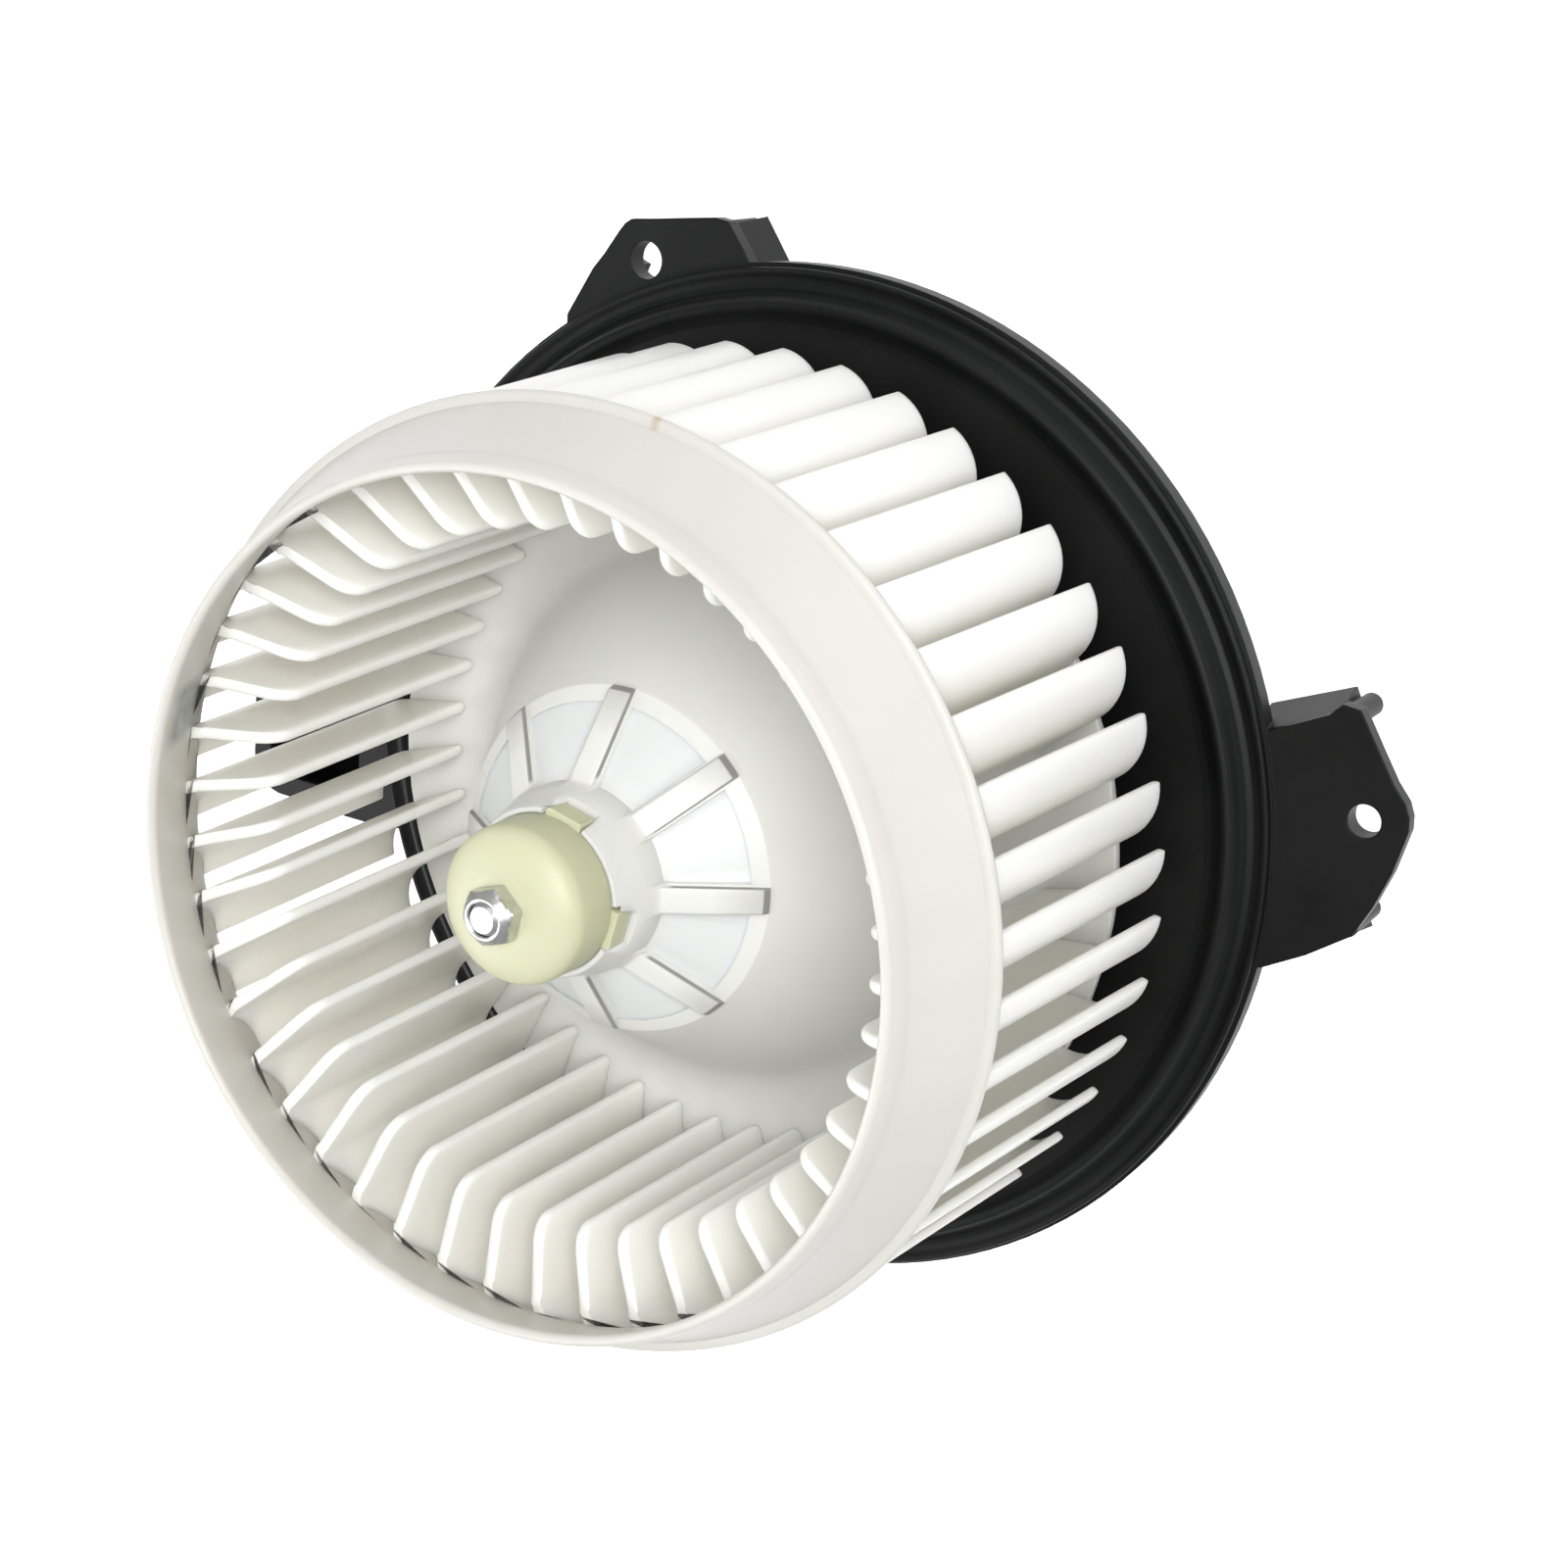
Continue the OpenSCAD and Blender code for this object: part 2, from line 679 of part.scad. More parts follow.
// pan-head screw that holds the rear cap, with a cross recess
module cap_screw(a) {
  z = cap_z - 3;
  rotate([0, 0, a]) translate([38.6, 0, 0]) difference() {
    rotate_extrude() polygon([[0, -24], [1, -24], [1.38, -24.6], [1.38, z], [3.1, z],
      [3, z - 1.3], [2.2, z - 2], [0, z - 2]]);
    translate([0, 0, z - 3]) linear_extrude(height = 2.1)
      polygon([[0.4, 0.4], [2, 0.4], [2, -0.4], [0.4, -0.4], [0.4, -2], [-0.4, -2],
        [-0.4, -0.4], [-2, -0.4], [-2, 0.4], [-0.4, 0.4], [-0.4, 2], [0.4, 2]]);
  }
}

module cap_screw_a() {
  color([0.7, 0.7, 0.68]) cap_screw(0);
}

module cap_screw_b() {
  color([0.7, 0.7, 0.68]) cap_screw(120);
}

module cap_screw_c() {
  color([0.7, 0.7, 0.68]) cap_screw(240);
}

inlet_ring();
fan_blades();
fan_backplate();
hub_collar();
hub_nut();
balance_clip();
motor_shaft();
armature_core();
armature_winding();
commutator();
thrust_washer_front();
thrust_washer_rear();
flange();
motor_cup();
cooling_duct();
rear_cap();
iso_ring_front();
iso_ring_rear();
yoke_can();
magnet_a();
magnet_b();
magnet_clip_a();
magnet_clip_b();
bushing_front();
bushing_rear();
bushing_retainer_front();
bushing_retainer_rear();
end_plate();
brush_card();
brush_holder_a();
brush_holder_b();
brush_a();
brush_b();
brush_spring_a();
brush_spring_b();
choke_a();
choke_b();
terminal_a();
terminal_b();
cap_screw_a();
cap_screw_b();
cap_screw_c();
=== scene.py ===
"""Looks of the blower: wheel on its motor in a black flange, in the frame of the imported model."""
import math

import bmesh
import bpy
from mathutils import Matrix, Vector


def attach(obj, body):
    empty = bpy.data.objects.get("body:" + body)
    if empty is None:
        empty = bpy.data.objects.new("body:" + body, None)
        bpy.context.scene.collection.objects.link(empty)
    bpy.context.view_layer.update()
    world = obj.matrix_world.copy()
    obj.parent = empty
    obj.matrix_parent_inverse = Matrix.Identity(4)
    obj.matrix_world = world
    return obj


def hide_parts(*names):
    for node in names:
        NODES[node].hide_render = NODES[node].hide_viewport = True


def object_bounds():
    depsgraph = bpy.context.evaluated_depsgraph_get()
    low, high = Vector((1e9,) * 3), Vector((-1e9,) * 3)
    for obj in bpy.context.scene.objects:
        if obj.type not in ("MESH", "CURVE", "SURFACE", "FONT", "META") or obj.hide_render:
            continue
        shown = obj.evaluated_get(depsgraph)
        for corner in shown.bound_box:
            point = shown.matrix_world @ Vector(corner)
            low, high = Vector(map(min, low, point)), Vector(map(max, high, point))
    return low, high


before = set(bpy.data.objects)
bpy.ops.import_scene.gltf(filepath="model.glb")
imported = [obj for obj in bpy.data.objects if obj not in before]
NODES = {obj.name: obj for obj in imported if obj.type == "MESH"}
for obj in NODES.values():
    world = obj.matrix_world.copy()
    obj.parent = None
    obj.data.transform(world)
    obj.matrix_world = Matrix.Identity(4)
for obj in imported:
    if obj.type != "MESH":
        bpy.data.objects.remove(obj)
CAD_BOX = [list(v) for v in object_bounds()]
MM = 0.001

# ------------------------------------------------------------------ camera
# A three-quarter view into the wheel from its inlet side.
cam_data = bpy.data.cameras.new("camera")
cam_data.lens_unit = "MILLIMETERS"
cam_data.sensor_width = 36.0
cam_data.lens = 60.2
camera = bpy.data.objects.new("camera", cam_data)
bpy.context.scene.collection.objects.link(camera)
bpy.context.scene.camera = camera
AXIS_TILT = math.radians(56.16)
ROLL = math.radians(245.628)
back = Vector((0.0, -math.cos(AXIS_TILT), math.sin(AXIS_TILT)))
flat_right = Vector((1.0, 0.0, 0.0))
flat_up = back.cross(flat_right)
right = flat_right * math.cos(ROLL) + flat_up * math.sin(ROLL)
up = back.cross(right)
turn = Matrix((right, up, back)).transposed()
camera.matrix_world = Matrix.Translation(Vector((-0.00006, -0.24476, 0.3648))) @ turn.to_4x4()
cam_data.clip_start = 0.01
cam_data.clip_end = 20.0


# ------------------------------------------------------------------ node helpers
def material(name):
    m = bpy.data.materials.new(name)
    m.use_nodes = True
    nt = m.node_tree
    nt.nodes.clear()
    out = nt.nodes.new("ShaderNodeOutputMaterial")
    bsdf = nt.nodes.new("ShaderNodeBsdfPrincipled")
    nt.links.new(bsdf.outputs["BSDF"], out.inputs["Surface"])
    return m, nt, bsdf


def noise(nt, scale, detail=4.0, rough=0.55, coord=None, stretch=None):
    n = nt.nodes.new("ShaderNodeTexNoise")
    n.inputs["Scale"].default_value = scale
    n.inputs["Detail"].default_value = detail
    n.inputs["Roughness"].default_value = rough
    tc = nt.nodes.new("ShaderNodeTexCoord")
    src = tc.outputs["Object"]
    if stretch:
        mp = nt.nodes.new("ShaderNodeMapping")
        mp.inputs["Scale"].default_value = stretch
        nt.links.new(src, mp.inputs["Vector"])
        src = mp.outputs["Vector"]
    nt.links.new(src, n.inputs["Vector"])
    return n


def ramp(nt, src, stops):
    r = nt.nodes.new("ShaderNodeValToRGB")
    e = r.color_ramp.elements
    while len(e) < len(stops):
        e.new(0.5)
    for el, (pos, col) in zip(e, stops):
        el.position = pos
        el.color = (*col, 1.0)
    nt.links.new(src, r.inputs["Fac"])
    return r


def to_range(nt, src, a, b, lo=0.0, hi=1.0):
    n = nt.nodes.new("ShaderNodeMapRange")
    n.inputs["From Min"].default_value = lo
    n.inputs["From Max"].default_value = hi
    n.inputs["To Min"].default_value = a
    n.inputs["To Max"].default_value = b
    nt.links.new(src, n.inputs["Value"])
    return n.outputs["Result"]


def soft_edges(nt, radius):
    """Rounds the CAD solids' sharp edges in the shading, as a mould does."""
    b = nt.nodes.new("ShaderNodeBevel")
    b.samples = 6
    b.inputs["Radius"].default_value = radius
    return b.outputs["Normal"]


def bump(nt, bsdf, src, strength, distance, prev=None):
    b = nt.nodes.new("ShaderNodeBump")
    b.inputs["Strength"].default_value = strength
    b.inputs["Distance"].default_value = distance
    nt.links.new(src, b.inputs["Height"])
    if prev is not None:
        nt.links.new(prev, b.inputs["Normal"])
    nt.links.new(b.outputs["Normal"], bsdf.inputs["Normal"])
    return b.outputs["Normal"]


def natural_plastic(name, light, warm, roughness, sss, radius):
    """Unpigmented moulded plastic: milky, a little translucent, with faint flow marks."""
    m, nt, b = material(name)
    flow = noise(nt, 38.0, 3.0, 0.5, stretch=(1.0, 1.0, 0.35))
    col = ramp(nt, flow.outputs["Fac"], [(0.3, warm), (0.7, light)])
    nt.links.new(col.outputs["Color"], b.inputs["Base Color"])
    fine = noise(nt, 900.0, 3.0, 0.6)
    nt.links.new(to_range(nt, fine.outputs["Fac"], roughness - 0.06, roughness + 0.08), b.inputs["Roughness"])
    bump(nt, b, fine.outputs["Fac"], 0.06, 0.0002)
    b.inputs["Subsurface Weight"].default_value = sss
    b.inputs["Subsurface Radius"].default_value = radius
    b.inputs["Subsurface Scale"].default_value = 0.004
    b.inputs["IOR"].default_value = 1.49
    b.inputs["Specular IOR Level"].default_value = 0.45
    return m


def black_plastic(name, low=(0.0035, 0.0038, 0.0038), high=(0.008, 0.0084, 0.0084), rough=0.44):
    """Mineral-filled black plastic with a fine sparked texture and faint scuffs."""
    m, nt, b = material(name)
    cloud = noise(nt, 30.0, 4.0, 0.6)
    col = ramp(nt, cloud.outputs["Fac"], [(0.35, low), (0.7, high)])
    nt.links.new(col.outputs["Color"], b.inputs["Base Color"])
    grain = noise(nt, 2600.0, 2.0, 0.7)
    nt.links.new(to_range(nt, cloud.outputs["Fac"], rough - 0.06, rough + 0.1), b.inputs["Roughness"])
    bump(nt, b, grain.outputs["Fac"], 0.12, 0.00015, soft_edges(nt, 0.0005))
    b.inputs["IOR"].default_value = 1.5
    b.inputs["Specular IOR Level"].default_value = 0.20
    return m


def metal(name, low, high, rough, stretch=(1.0, 1.0, 1.0), scale=300.0, aniso=0.0):
    m, nt, b = material(name)
    n = noise(nt, scale, 4.0, 0.6, stretch=stretch)
    col = ramp(nt, n.outputs["Fac"], [(0.3, low), (0.7, high)])
    nt.links.new(col.outputs["Color"], b.inputs["Base Color"])
    nt.links.new(to_range(nt, n.outputs["Fac"], rough - 0.07, rough + 0.1), b.inputs["Roughness"])
    bump(nt, b, n.outputs["Fac"], 0.08, 0.0001)
    b.inputs["Metallic"].default_value = 1.0
    b.inputs["Anisotropic"].default_value = aniso
    return m


def dull(name, low, high, rough, scale=400.0, strength=0.2):
    m, nt, b = material(name)
    n = noise(nt, scale, 5.0, 0.65)
    col = ramp(nt, n.outputs["Fac"], [(0.3, low), (0.7, high)])
    nt.links.new(col.outputs["Color"], b.inputs["Base Color"])
    nt.links.new(to_range(nt, n.outputs["Fac"], rough - 0.08, rough + 0.08), b.inputs["Roughness"])
    bump(nt, b, n.outputs["Fac"], strength, 0.0002)
    return m


def math_node(nt, op, a, b=None, clamp=False):
    n = nt.nodes.new("ShaderNodeMath")
    n.operation = op
    n.use_clamp = clamp
    for i, v in enumerate((a, b)):
        if v is None:
            continue
        if isinstance(v, (int, float)):
            n.inputs[i].default_value = v
        else:
            nt.links.new(v, n.inputs[i])
    return n.outputs[0]


def window(nt, src, a, b, c, d):
    """0 below a, 1 from b to c, 0 above d, with soft flanks."""
    return math_node(nt, "MULTIPLY", to_range(nt, src, 0.0, 1.0, a, b), to_range(nt, src, 1.0, 0.0, c, d))


def place(nt, turn_deg=0.0):
    """Object coordinates turned about the spin axis, and the radius."""
    tc = nt.nodes.new("ShaderNodeTexCoord")
    mp = nt.nodes.new("ShaderNodeMapping")
    mp.inputs["Rotation"].default_value = (0.0, 0.0, math.radians(turn_deg))
    nt.links.new(tc.outputs["Object"], mp.inputs["Vector"])
    sep = nt.nodes.new("ShaderNodeSeparateXYZ")
    nt.links.new(mp.outputs["Vector"], sep.inputs["Vector"])
    x, y, z = sep.outputs["X"], sep.outputs["Y"], sep.outputs["Z"]
    squares = [math_node(nt, "MULTIPLY", v, v) for v in (x, y)]
    r = math_node(nt, "SQRT", math_node(nt, "ADD", *squares))
    return x, y, z, r


def stain_and_shade(nt, b, mask, colour, amount):
    """Lays another colour over a material's base colour where the mask is high, for real marks and for
    painted shade.
    """
    link = b.inputs["Base Color"].links[0]
    mix = nt.nodes.new("ShaderNodeMix")
    mix.data_type = "RGBA"
    nt.links.new(math_node(nt, "MULTIPLY", mask, amount, True), mix.inputs[0])
    nt.links.new(link.from_socket, mix.inputs[6])
    mix.inputs[7].default_value = (*colour, 1.0)
    nt.links.new(mix.outputs[2], b.inputs["Base Color"])


def tools(m):
    nt = m.node_tree
    return nt, [n for n in nt.nodes if n.bl_idname == "ShaderNodeBsdfPrincipled"][0]


def paint_crease_shade(m, colour, amount, distance):
    """Paints shade into the base colour: the plastic is made warmer and darker where it faces its own
    neighbours.
    """
    nt, b = tools(m)
    ao = nt.nodes.new("ShaderNodeAmbientOcclusion")
    ao.samples = 6
    ao.inputs["Distance"].default_value = distance
    stain_and_shade(nt, b, to_range(nt, ao.outputs["AO"], 1.0, 0.0, 0.15, 0.95), colour, amount)


WHEEL = natural_plastic("natural_pp", (0.93, 0.925, 0.89), (0.89, 0.88, 0.83), 0.34, 0.55, (1.0, 0.92, 0.78))
PLATE = natural_plastic(
    "natural_pp_plate", (0.76, 0.76, 0.735), (0.71, 0.71, 0.685), 0.36, 0.35, (1.0, 0.95, 0.85)
)
NYLON = natural_plastic(
    "natural_nylon", (0.61, 0.615, 0.43), (0.55, 0.555, 0.375), 0.38, 0.3, (1.0, 0.95, 0.6)
)
BLACK = black_plastic("black_pp")
RUBBER = dull("rubber_black", (0.012, 0.012, 0.012), (0.025, 0.025, 0.025), 0.75, 700.0, 0.3)
ZINC = metal("zinc_steel", (0.52, 0.53, 0.54), (0.68, 0.68, 0.66), 0.28, scale=500.0)
SHAFT = metal("ground_steel", (0.55, 0.55, 0.56), (0.70, 0.70, 0.70), 0.22, (1.0, 1.0, 0.1), 900.0, 0.4)
CAN = metal("drawn_steel", (0.45, 0.46, 0.47), (0.60, 0.61, 0.62), 0.33, (1.0, 1.0, 0.15), 220.0)
SPRING = metal("spring_steel", (0.16, 0.18, 0.17), (0.30, 0.32, 0.30), 0.38)
LAMINATION = metal("lamination_edges", (0.16, 0.16, 0.17), (0.34, 0.34, 0.35), 0.45, (0.2, 0.2, 8.0), 260.0)
FERRITE = dull("ferrite", (0.045, 0.045, 0.05), (0.08, 0.08, 0.085), 0.7)
COPPER = metal("copper", (0.40, 0.16, 0.07), (0.62, 0.28, 0.14), 0.32, (0.4, 0.4, 5.0), 420.0)
BRASS = metal("brass", (0.55, 0.40, 0.16), (0.72, 0.56, 0.28), 0.3)
BRONZE = metal("bronze", (0.34, 0.22, 0.11), (0.50, 0.36, 0.20), 0.5)
CARBON = dull("carbon", (0.02, 0.02, 0.022), (0.045, 0.045, 0.05), 0.55)
FIBRE = dull("phenolic", (0.10, 0.055, 0.03), (0.18, 0.11, 0.06), 0.5)

# painted shade in the creases: warmer and darker on the wheel, greyer on the plate
paint_crease_shade(WHEEL, (0.80, 0.74, 0.58), 0.20, 0.011)
paint_crease_shade(PLATE, (0.42, 0.43, 0.42), 0.50, 0.004)

# the ring: the steel strip on its outside shows through it as a soft dark patch,
# and the gate left a brown mark
# painted shade: the ring's base colour is a darker copy of the wheel's white plastic, to hold down the extra
# light the ring catches
RING = natural_plastic(
    "natural_pp_ring", (0.61, 0.597, 0.565), (0.58, 0.565, 0.53), 0.34, 0.25, (1.0, 0.92, 0.78)
)
nt, b = tools(RING)
x, y, z, r = place(nt, -42.0)
across = window(nt, y, -0.0062, -0.0038, 0.0038, 0.0062)
along = window(nt, z, 0.0665, 0.0695, 0.0785, 0.0815)
patch = math_node(nt, "MULTIPLY", across, along)
patch = math_node(nt, "MULTIPLY", patch, to_range(nt, x, 0.0, 1.0, 0.0, 0.01))
cloud = noise(nt, 160.0, 3.0, 0.6)
patch = math_node(nt, "MULTIPLY", patch, to_range(nt, cloud.outputs["Fac"], 0.55, 1.0, 0.35, 0.6))
stain_and_shade(nt, b, patch, (0.20, 0.235, 0.225), 0.85)
x, y, z, r = place(nt, 44.0)
across = window(nt, y, -0.0008, -0.0002, 0.0003, 0.0009)
along = window(nt, z, 0.0646, 0.0651, 0.0662, 0.067)
gate = math_node(nt, "MULTIPLY", across, along)
gate = math_node(nt, "MULTIPLY", gate, to_range(nt, x, 0.0, 1.0, 0.070, 0.0712))
stain_and_shade(nt, b, gate, (0.40, 0.29, 0.15), 0.75)

# the plate: its sunk pockets look cooler, and painted shade makes the ribs' flanks darker
nt, b = tools(PLATE)
x, y, z, r = place(nt)
plain = math_node(nt, "ADD", math_node(nt, "MULTIPLY", r, -0.76923), 0.0155 + 0.0344 + 0.0272 * 0.76923)
proud = math_node(nt, "SUBTRACT", z, plain)
crown = window(nt, r, 0.0152, 0.0160, 0.0249, 0.0251)
sunk = math_node(nt, "MULTIPLY", crown, to_range(nt, proud, 1.0, 0.0, -0.0006, -0.0003))
stain_and_shade(nt, b, sunk, (0.68, 0.72, 0.725), 0.6)
# painted shade on the ribs' side faces
ribs = window(nt, r, 0.0156, 0.0162, 0.0274, 0.0276)
flanks = math_node(nt, "MULTIPLY", ribs, window(nt, proud, 0.0001, 0.0003, 0.0010, 0.0013))
stain_and_shade(nt, b, flanks, (0.22, 0.22, 0.215), 0.9)

CAD_LOOKS = {
    "inlet_ring": WHEEL, "fan_blades": WHEEL, "fan_backplate": PLATE, "hub_collar": NYLON,
    "hub_nut": ZINC, "balance_clip": SPRING, "motor_shaft": SHAFT, "armature_core": LAMINATION,
    "armature_winding": COPPER, "commutator": COPPER, "thrust_washer_front": FIBRE,
    "thrust_washer_rear": FIBRE, "flange": BLACK, "motor_cup": BLACK,
    "cooling_duct": BLACK, "rear_cap": BLACK,
    "iso_ring_front": RUBBER, "iso_ring_rear": RUBBER, "yoke_can": CAN, "magnet_a": FERRITE,
    "magnet_b": FERRITE, "magnet_clip_a": SPRING, "magnet_clip_b": SPRING, "bushing_front": BRONZE,
    "bushing_rear": BRONZE, "bushing_retainer_front": SPRING, "bushing_retainer_rear": SPRING,
    "end_plate": CAN, "brush_card": FIBRE, "brush_holder_a": BRASS, "brush_holder_b": BRASS,
    "brush_a": CARBON, "brush_b": CARBON, "brush_spring_a": SPRING, "brush_spring_b": SPRING,
    "choke_a": COPPER, "choke_b": COPPER, "terminal_a": BRASS, "terminal_b": BRASS,
    "cap_screw_a": ZINC, "cap_screw_b": ZINC, "cap_screw_c": ZINC,
}
for name, mat in CAD_LOOKS.items():
    ob = NODES[name]
    ob.data.materials.clear()
    ob.data.materials.append(mat)


# ------------------------------------------------------------------ mesh helpers
def add_mesh(name, verts, faces, mat, body, smooth=True, angle=None):
    me = bpy.data.meshes.new(name)
    me.from_pydata([tuple(v) for v in verts], [], faces)
    me.validate()
    ob = bpy.data.objects.new(name, me)
    bpy.context.scene.collection.objects.link(ob)
    me.materials.append(mat)
    bm = bmesh.new()
    bm.from_mesh(me)
    bmesh.ops.remove_doubles(bm, verts=bm.verts, dist=1e-6)
    bmesh.ops.recalc_face_normals(bm, faces=bm.faces)
    if angle is not None:
        lim = math.radians(angle)
        for e in bm.edges:
            if len(e.link_faces) == 2 and e.calc_face_angle(0.0) > lim:
                e.smooth = False
    bm.to_mesh(me)
    bm.free()
    for p in me.polygons:
        p.use_smooth = smooth
    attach(ob, body)
    return ob


def lathe(name, profile, mat, body, seg=256, angle=35.0):
    """Turns a closed loop of (radius, height) points, in mm, about Z."""
    n = len(profile)
    verts, faces = [], []
    for s in range(seg):
        a = 2 * math.pi * s / seg
        ca, sa = math.cos(a), math.sin(a)
        verts += [(r * ca * MM, r * sa * MM, z * MM) for r, z in profile]
    for s in range(seg):
        t = (s + 1) % seg
        for i in range(n):
            j = (i + 1) % n
            faces.append((s * n + i, s * n + j, t * n + j, t * n + i))
    return add_mesh(name, verts, faces, mat, body, True, angle)


def arc(cx, cy, r, a0, a1, n):
    return [(cx + r * math.cos(math.radians(a0 + (a1 - a0) * i / n)),
             cy + r * math.sin(math.radians(a0 + (a1 - a0) * i / n))) for i in range(n + 1)]


# ------------------------------------------------------------------ the inlet ring
RING_Z0, RING_Z1, LIP_R, RING_R, WALL = 64.9, 82.85, 64.7, 72.1, 1.8
RING_H = RING_Z1 - RING_Z0
RING_Q = (RING_R - LIP_R - 0.15 * RING_H) / RING_H ** 2


def ring_out(z):
    d = RING_Z1 - z
    return LIP_R + 0.15 * d + RING_Q * d * d


def smooth(x, a, b):
    t = min(max((x - a) / (b - a), 0.0), 1.0)
    return t * t * (3 - 2 * t)


def ring_profile():
    lip = arc(ring_out(RING_Z1 - 0.9) - 0.9, RING_Z1 - 0.9, 0.9, 180, 0, 14)
    z_list = [RING_Z1 - 0.9 - (RING_H - 2.6) * (i + 1) / 26 for i in range(26)]
    outer = [(ring_out(z) + 0.16 * smooth(z, 78.6, 79.6) * (1 - smooth(z, 81.2, 82.2)), z) for z in z_list]
    bead = arc(RING_R - 0.3, RING_Z0 + 0.85, 0.85, 62, -90, 12)
    low = [(RING_R - 0.9, RING_Z0), (ring_out(RING_Z0) - WALL + 0.25, RING_Z0),
           (ring_out(RING_Z0) - WALL, RING_Z0 + 0.3)]
    inner = [(ring_out(z) - WALL, z) for z in reversed(z_list) if z > RING_Z0 + 0.4]
    return lip + outer + bead + low + inner


ring = lathe("ring_skin", ring_profile(), RING, "rotor", seg=360, angle=50.0)
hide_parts("inlet_ring")


# ------------------------------------------------------------------ the blades
BLADES, FIRST, PITCH = 45, -19.7, 8.0
TILT, LEAN = math.tan(math.radians(3.35)), math.tan(math.radians(0.9))


def inner_edge(z):
    if z <= 64.6:
        return 55.8 + (53.6 - 55.8) * (z - 15.3) / 49.3
    return 58.1 - math.sqrt(max(4.5 ** 2 - (z - 64.6) ** 2, 0.0))


def front_radius(z):
    """Radius at which the blade's front edge reaches height z, where it runs up to the ring."""
    slope = (72.95 - 68.83) / (68.0 - 56.56)
    if z <= 68.83:
        return inner_edge(z)
    return 56.56 + (z - 68.83) / slope


def blade_loop(z, n_leg=7, n_arc=12):
    """Section of a blade at height z in its own frame, tip towards +X, as a closed loop."""
    tilt = TILT * (z - 15.5)
    lean = LEAN * (z - 15.5)
    r_in = front_radius(z)
    r_lim = 200.0 if z <= RING_Z0 else ring_out(z) - WALL + 0.18
    face, back_side = [], []
    x0 = math.sqrt(max(r_in ** 2 - 80.0, 1.0)) + tilt
    leg_end = min(66.9, max(x0 + 0.4, 60.0) if x0 > 66.0 else 66.9)
    for i in range(n_leg):
        x = x0 + (leg_end - x0) * i / n_leg
        face.append((x, -10.11 + 1.67 * (x - 51) / 16))
        back_side.append((x, -8.25 + 1.63 * (x - 51) / 16))
    for i in range(n_arc + 1):
        a = math.radians(-84.3 + (84.3 - 3.6) * i / n_arc)
        face.append((66.07 + 8.94 * math.cos(a), 0.44 + 8.94 * math.sin(a)))
        b = math.radians(-84.0 + (84.0 - 5.6) * i / n_arc)
        back_side.append((66.3 + 7.3 * math.cos(b), 0.65 + 7.3 * math.sin(b)))
    # rounded inner end and tip
    fx, fy = face[0]
    bx, by = back_side[0]
    mx, my, hr = (fx + bx) / 2, (fy + by) / 2, (by - fy) / 2
    turns = [math.radians(t) for t in (30, 60, 90, 120, 150)]
    nose = [(mx - hr * 0.75 * math.sin(t), my + hr * math.cos(t)) for t in turns]
    fx, fy = face[-1]
    bx, by = back_side[-1]
    tip = [(fx - 0.05, fy + 0.25), (fx - 0.3, fy + 0.42), ((fx + bx) / 2, fy + 0.48),
           (bx + 0.3, by + 0.42), (bx + 0.05, by + 0.22)]
    loop = face + tip + back_side[::-1] + nose
    out = []
    for x, y in loop:
        x, y = x - tilt, y + lean
        r = math.hypot(x, y)
        if r > r_lim:
            # the ring zone: what lies outside the ring's inner face is drawn back along its own side
            k = r_lim / r
            x, y = x * k, y * k
        out.append((x, y))
    return out


def make_blades():
    zs = [15.32, 15.42, 15.7, 16.2] + [16.2 + (63.0 - 16.2) * i / 14 for i in range(1, 15)]
    zs += [64.2, RING_Z0 - 0.01, RING_Z0 + 0.03, 65.6, 66.3, 67.0, 67.6, 68.1, 68.5, 68.83]
    zs += [69.4, 70.0, 70.6, 71.2, 71.7, 72.05]
    loops = []
    for z in zs:
        loop = blade_loop(z)
        if z < 15.6:
            # soft edge round the rear end
            g = 0.22 if z < 15.4 else 0.08
            m = len(loop)
            shrunk = []
            for i in range(m):
                ax, ay = loop[i - 1]
                bx, by = loop[(i + 1) % m]
                dx, dy = bx - ax, by - ay
                ln = math.hypot(dx, dy) or 1.0
                shrunk.append((loop[i][0] - g * dy / ln, loop[i][1] + g * dx / ln))
            loop = shrunk
        loops.append(loop)
    m = len(loops[0])
    verts, faces = [], []
    for k in range(BLADES):
        a = math.radians(FIRST - PITCH * k)
        ca, sa = math.cos(a), math.sin(a)
        base = len(verts)
        for z, loop in zip(zs, loops):
            verts += [((x * ca - y * sa) * MM, (x * sa + y * ca) * MM, z * MM) for x, y in loop]
        for j in range(len(zs) - 1):
            p, q = base + j * m, base + (j + 1) * m
            for i in range(m):
                t = (i + 1) % m
                faces.append((p + i, p + t, q + t, q + i))
        faces.append(tuple(base + i for i in range(m))[::-1])
        faces.append(tuple(base + (len(zs) - 1) * m + i for i in range(m)))
    return verts, faces


bv, bf = make_blades()
blades = add_mesh("blade_skins", bv, bf, WHEEL, "rotor", True, 42.0)
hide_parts("fan_blades")


# ------------------------------------------------------------------ the back plate and its dome
ZB = 15.5
CROWN_SLOPE = 10.0 / 13.0


def plate_surface(r):
    """Height of the plain turned outer surface above ZB."""
    if r >= 55.0:
        return 0.0
    if r >= 42.9:
        return 14.0 - math.sqrt(14.0 ** 2 - (55.0 - r) ** 2)
    if r >= 27.2:
        return 6.96 + (42.9 - r) * (34.4 - 6.96) / 15.7
    crown = 34.4 + (27.2 - r) * CROWN_SLOPE
    if r < 15.4:
        return max(crown, 40.0 + (16.2 - r) * 13.5 / 3.3)
    return crown


